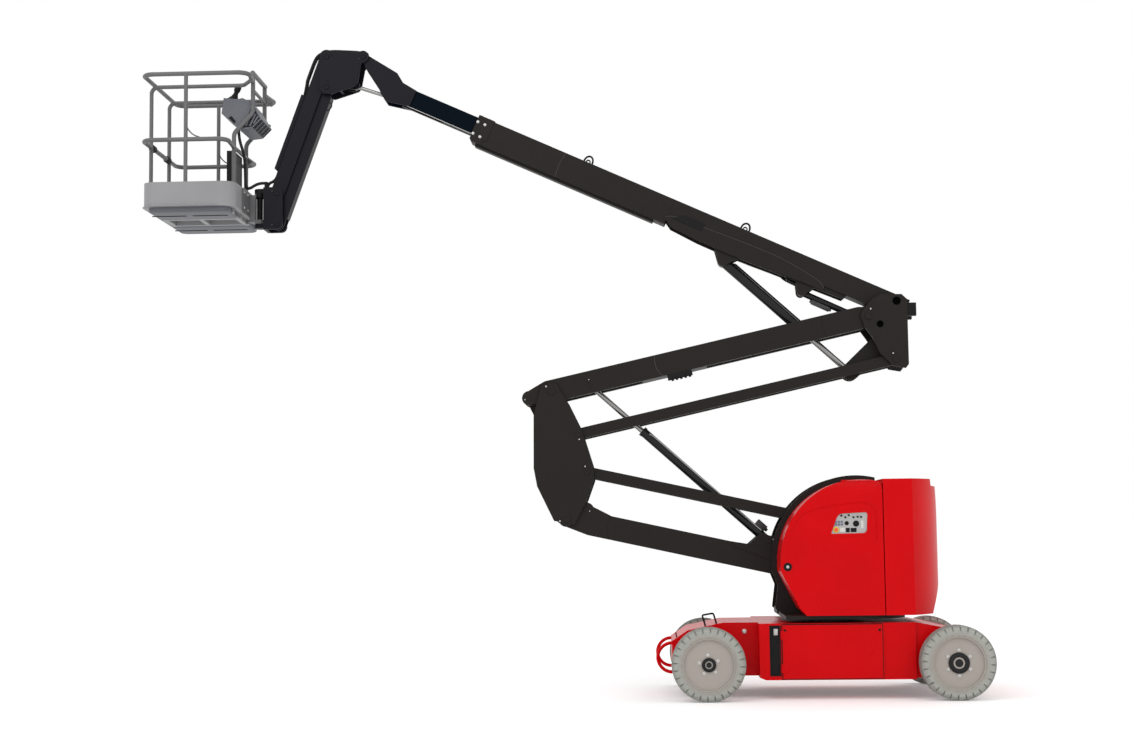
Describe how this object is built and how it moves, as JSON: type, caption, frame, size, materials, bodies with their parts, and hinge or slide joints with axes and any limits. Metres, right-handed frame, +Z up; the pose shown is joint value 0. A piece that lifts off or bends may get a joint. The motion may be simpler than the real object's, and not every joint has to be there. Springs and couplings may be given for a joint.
{
  "type": "articulating boom lift",
  "caption": "Self-propelled electric articulating boom lift: red chassis and turret, folding parallelogram arms, telescopic boom, hanging jib and a railed work basket.",
  "frame": {"origin": "on the ground under the middle of the machine's bounding box", "axes": "+X from the basket towards the counterweight along the machine, +Y across it, +Z up"},
  "size_m": [7.0702, 1.75, 5.647],
  "materials": {
    "red_paint": "gloss",
    "red_casting": "gloss",
    "black_paint": "satin",
    "navy_paint": "satin",
    "ram_paint": "gloss",
    "rod_chrome": "polished",
    "axle_steel": "satin",
    "rim_paint": "satin",
    "tyre_rubber": "matt",
    "basket_paint": "satin",
    "grey_plastic": "matt",
    "black_plastic": "matt",
    "battery_case": "matt"
  },
  "bodies": {
    "chassis": {"chassis_frame": "red_paint", "front_axle": "axle_steel", "rear_axle": "axle_steel", "front_hoops": "red_paint", "battery_blocks": "battery_case", "slew_ring": "axle_steel"},
    "door_near": {"battery_door_near": "red_paint"},
    "door_far": {"battery_door_far": "red_paint"},
    "steer_near": {"steer_knuckle_near": "axle_steel"},
    "steer_far": {"steer_knuckle_far": "axle_steel"},
    "wheel_front_near": {"rim_front_near": "rim_paint", "tyre_front_near": "tyre_rubber"},
    "wheel_front_far": {"rim_front_far": "rim_paint", "tyre_front_far": "tyre_rubber"},
    "wheel_rear_near": {"rim_rear_near": "rim_paint", "tyre_rear_near": "tyre_rubber"},
    "wheel_rear_far": {"rim_rear_far": "rim_paint", "tyre_rear_far": "tyre_rubber"},
    "turret": {"turret_frame": "black_paint", "counterweight": "red_casting", "power_units": "battery_case"},
    "hood_near": {"hood_near": "red_paint", "control_panel": "grey_plastic"},
    "hood_far": {"hood_far": "red_paint"},
    "bracket": {"basket_bracket": "navy_paint"},
    "basket": {"basket_mount": "basket_paint", "basket_floor": "basket_paint", "rails_near": "basket_paint", "rails_far": "basket_paint", "rails_front": "basket_paint", "console_frame": "basket_paint", "console": "grey_plastic", "document_box": "black_plastic"},
    "entry_bar": {"entry_bar": "basket_paint"},
    "lower_arm": {"lower_arm": "black_paint"},
    "lower_ties": {"lower_ties": "black_paint"},
    "lower_knuckle": {"lower_knuckle": "black_paint"},
    "sync_link": {"sync_link": "black_paint"},
    "upper_arm": {"upper_arm": "black_paint"},
    "upper_ties": {"upper_ties": "black_paint"},
    "upper_knuckle": {"upper_knuckle": "black_paint"},
    "lift_barrel": {"lift_barrel": "ram_paint"},
    "lift_rod": {"lift_rod": "rod_chrome"},
    "boom_outer": {"boom_outer": "black_paint"},
    "boom_inner": {"boom_inner": "navy_paint"},
    "boom_ram_barrel": {"boom_ram_barrel": "ram_paint"},
    "boom_ram_rod": {"boom_ram_rod": "rod_chrome"},
    "level_barrel": {"level_barrel": "ram_paint"},
    "level_rod": {"level_rod": "rod_chrome"},
    "jib_head": {"jib_head": "navy_paint"},
    "slave_barrel": {"slave_barrel": "ram_paint"},
    "slave_rod": {"slave_rod": "rod_chrome"},
    "jib_upper": {"jib_upper": "navy_paint"},
    "jib_lower": {"jib_lower": "navy_paint"},
    "jib_ram_barrel": {"jib_ram_barrel": "ram_paint"},
    "jib_ram_rod": {"jib_ram_rod": "rod_chrome"}
  },
  "joints": [
    {"name": "steer_near", "type": "hinge", "parent": "chassis", "child": "steer_near", "pos_m": [1.2348, -0.63, 0.3], "axis": [0, 0, 1], "range_deg": [-38, 38]},
    {"name": "steer_far", "type": "hinge", "parent": "chassis", "child": "steer_far", "pos_m": [1.2348, 0.63, 0.3], "axis": [0, 0, 1], "range_deg": [-38.2, 38.2]},
    {"name": "wheel_front_near", "type": "hinge", "parent": "steer_near", "child": "wheel_front_near", "pos_m": [1.2348, -0.78, 0.3], "axis": [0, 1, 0], "continuous": true},
    {"name": "wheel_front_far", "type": "hinge", "parent": "steer_far", "child": "wheel_front_far", "pos_m": [1.2348, 0.78, 0.3], "axis": [0, 1, 0], "continuous": true},
    {"name": "wheel_rear_near", "type": "hinge", "parent": "chassis", "child": "wheel_rear_near", "pos_m": [3.2348, -0.78, 0.3], "axis": [0, 1, 0], "continuous": true},
    {"name": "wheel_rear_far", "type": "hinge", "parent": "chassis", "child": "wheel_rear_far", "pos_m": [3.2348, 0.78, 0.3], "axis": [0, 1, 0], "continuous": true},
    {"name": "door_near", "type": "hinge", "parent": "chassis", "child": "door_near", "pos_m": [1.8328, -0.683, 0.388], "axis": [0, 0, -1], "range_deg": [0, 100]},
    {"name": "door_far", "type": "hinge", "parent": "chassis", "child": "door_far", "pos_m": [1.8328, 0.683, 0.388], "axis": [0, 0, 1], "range_deg": [0, 100]},
    {"name": "slew", "type": "hinge", "parent": "chassis", "child": "turret", "pos_m": [2.2348, 0, 0.647], "axis": [0, 0, 1], "range_deg": [-177.5, 177.5]},
    {"name": "hood_near", "type": "hinge", "parent": "turret", "child": "hood_near", "pos_m": [2.3348, -0.228, 1.788], "axis": [-1, 0, 0], "range_deg": [0, 70]},
    {"name": "hood_far", "type": "hinge", "parent": "turret", "child": "hood_far", "pos_m": [2.3348, 0.228, 1.788], "axis": [1, 0, 0], "range_deg": [0, 70]},
    {"name": "arm_lift", "type": "hinge", "parent": "turret", "child": "lower_arm", "pos_m": [2.7888, 0, 0.892], "axis": [0, -1, 0], "range_deg": [-47.5, 14.5]},
    {"name": "lower_ties", "type": "hinge", "parent": "turret", "child": "lower_ties", "pos_m": [2.9708, 0, 1.289], "axis": [0, 1, 0], "range_deg": [-14.7, 47.7]},
    {"name": "lower_knuckle", "type": "hinge", "parent": "lower_arm", "child": "lower_knuckle", "pos_m": [0.06493, 0, 1.49587], "axis": [0, 1, 0], "range_deg": [-47.7, 14.7]},
    {"name": "sync_link", "type": "hinge", "parent": "lower_arm", "child": "sync_link", "pos_m": [0.23139, 0, 1.57676], "axis": [0, 1, 0], "range_deg": [-42.2, 13.02]},
    {"name": "upper_arm", "type": "hinge", "parent": "lower_knuckle", "child": "upper_arm", "pos_m": [-0.05207, 0, 2.59187], "axis": [0, 1, 0], "range_deg": [-47.7, 14.7]},
    {"name": "upper_ties", "type": "hinge", "parent": "lower_knuckle", "child": "upper_ties", "pos_m": [0.16993, 0, 2.21887], "axis": [0, 1, 0], "range_deg": [-47.7, 14.7]},
    {"name": "upper_knuckle", "type": "hinge", "parent": "upper_arm", "child": "upper_knuckle", "pos_m": [2.6718, 0, 3.19573], "axis": [0, 1, 0], "range_deg": [-14.7, 47.7]},
    {"name": "lift_barrel", "type": "hinge", "parent": "lower_arm", "child": "lift_barrel", "pos_m": [1.78248, 0, 1.28717], "axis": [0, 1, 0], "range_deg": [-18.5, 5.79]},
    {"name": "lift_rod", "type": "slide", "parent": "lift_barrel", "child": "lift_rod", "axis": [-0.7421, 0, 0.6703], "range_m": [-0.2796, 0.9112]},
    {"name": "boom_lift", "type": "hinge", "parent": "upper_knuckle", "child": "boom_outer", "pos_m": [2.9098, 0, 3.31873], "axis": [0, 1, 0], "range_deg": [-21.1, 50.4]},
    {"name": "boom_ram_barrel", "type": "hinge", "parent": "boom_outer", "child": "boom_ram_barrel", "pos_m": [1.44517, 0, 3.71104], "axis": [0, 1, 0], "range_deg": [-10.06, 4.33]},
    {"name": "boom_ram_rod", "type": "slide", "parent": "boom_ram_barrel", "child": "boom_ram_rod", "axis": [0.7365, 0, -0.6765], "range_m": [-0.2238, 0.5319]},
    {"name": "level_barrel", "type": "hinge", "parent": "boom_outer", "child": "level_barrel", "pos_m": [2.11311, 0, 3.42833], "axis": [0, 1, 0], "range_deg": [-3.34, 1.51]},
    {"name": "level_rod", "type": "slide", "parent": "level_barrel", "child": "level_rod", "axis": [0.9049, 0, -0.4257], "range_m": [-0.0872, 0.2055]},
    {"name": "telescope", "type": "slide", "parent": "boom_outer", "child": "boom_inner", "axis": [-0.9092, 0, 0.4163], "range_m": [-0.55, 1.95]},
    {"name": "jib_head", "type": "hinge", "parent": "boom_inner", "child": "jib_head", "pos_m": [-1.6863, 0, 5.57697], "axis": [0, 1, 0], "range_deg": [-50.6, 21.3]},
    {"name": "slave_barrel", "type": "hinge", "parent": "boom_inner", "child": "slave_barrel", "pos_m": [-0.87269, 0, 5.0263], "axis": [0, 1, 0], "range_deg": [-3.23, 7.43]},
    {"name": "slave_rod", "type": "slide", "parent": "slave_barrel", "child": "slave_rod", "axis": [-0.9448, 0, 0.3278], "range_m": [-0.1898, 0.0806]},
    {"name": "jib_lift", "type": "hinge", "parent": "jib_head", "child": "jib_upper", "pos_m": [-2.0103, 0, 5.58497], "axis": [0, 1, 0], "range_deg": [0, 140]},
    {"name": "jib_lower", "type": "hinge", "parent": "jib_head", "child": "jib_lower", "pos_m": [-2.0103, 0, 5.31497], "axis": [0, 1, 0], "range_deg": [-0.2, 140.2]},
    {"name": "jib_ram_barrel", "type": "hinge", "parent": "jib_head", "child": "jib_ram_barrel", "pos_m": [-2.0103, 0, 5.31497], "axis": [0, 1, 0], "range_deg": [-0.2, 138.52]},
    {"name": "jib_ram_rod", "type": "slide", "parent": "jib_ram_barrel", "child": "jib_ram_rod", "axis": [-0.4245, 0, -0.9054], "range_m": [-0.002, 0.5081]},
    {"name": "bracket", "type": "hinge", "parent": "jib_lower", "child": "bracket", "pos_m": [-2.4498, 0, 4.10746], "axis": [0, 1, 0], "range_deg": [-140.2, 0.2]},
    {"name": "basket_turn", "type": "hinge", "parent": "bracket", "child": "basket", "pos_m": [-2.6198, 0, 4.19546], "axis": [0, 0, 1], "range_deg": [-66, 66]},
    {"name": "entry_bar", "type": "slide", "parent": "basket", "child": "entry_bar", "axis": [0, 0, 1], "range_m": [0, 0.42]}
  ],
  "couplings": [
    {"joint": "steer_far", "follows": "steer_near", "ratio": 1},
    {"joint": "lower_ties", "follows": "arm_lift", "ratio": -1},
    {"joint": "lower_knuckle", "follows": "arm_lift", "ratio": 1},
    {"joint": "sync_link", "follows": "arm_lift", "ratio": 0.88431},
    {"joint": "upper_arm", "follows": "arm_lift", "ratio": 1},
    {"joint": "upper_ties", "follows": "arm_lift", "ratio": 1},
    {"joint": "upper_knuckle", "follows": "arm_lift", "ratio": -1},
    {"joint": "lift_barrel", "follows": "arm_lift", "ratio": 0.38518},
    {"joint": "lift_rod", "follows": "arm_lift", "m_per_rad": -1.0967},
    {"joint": "boom_ram_barrel", "follows": "boom_lift", "ratio": -0.1957},
    {"joint": "boom_ram_rod", "follows": "boom_lift", "m_per_rad": 0.60236},
    {"joint": "level_barrel", "follows": "boom_lift", "ratio": -0.06223},
    {"joint": "level_rod", "follows": "boom_lift", "m_per_rad": 0.2313},
    {"joint": "jib_head", "follows": "boom_lift", "ratio": -1},
    {"joint": "slave_barrel", "follows": "boom_lift", "ratio": 0.14349},
    {"joint": "slave_rod", "follows": "boom_lift", "m_per_rad": -0.21348},
    {"joint": "jib_lower", "follows": "jib_lift", "ratio": 1},
    {"joint": "jib_ram_barrel", "follows": "jib_lift", "ratio": 0.98798},
    {"joint": "jib_ram_rod", "follows": "jib_lift", "m_per_rad": 0.20711},
    {"joint": "bracket", "follows": "jib_lift", "ratio": -1}
  ]
}
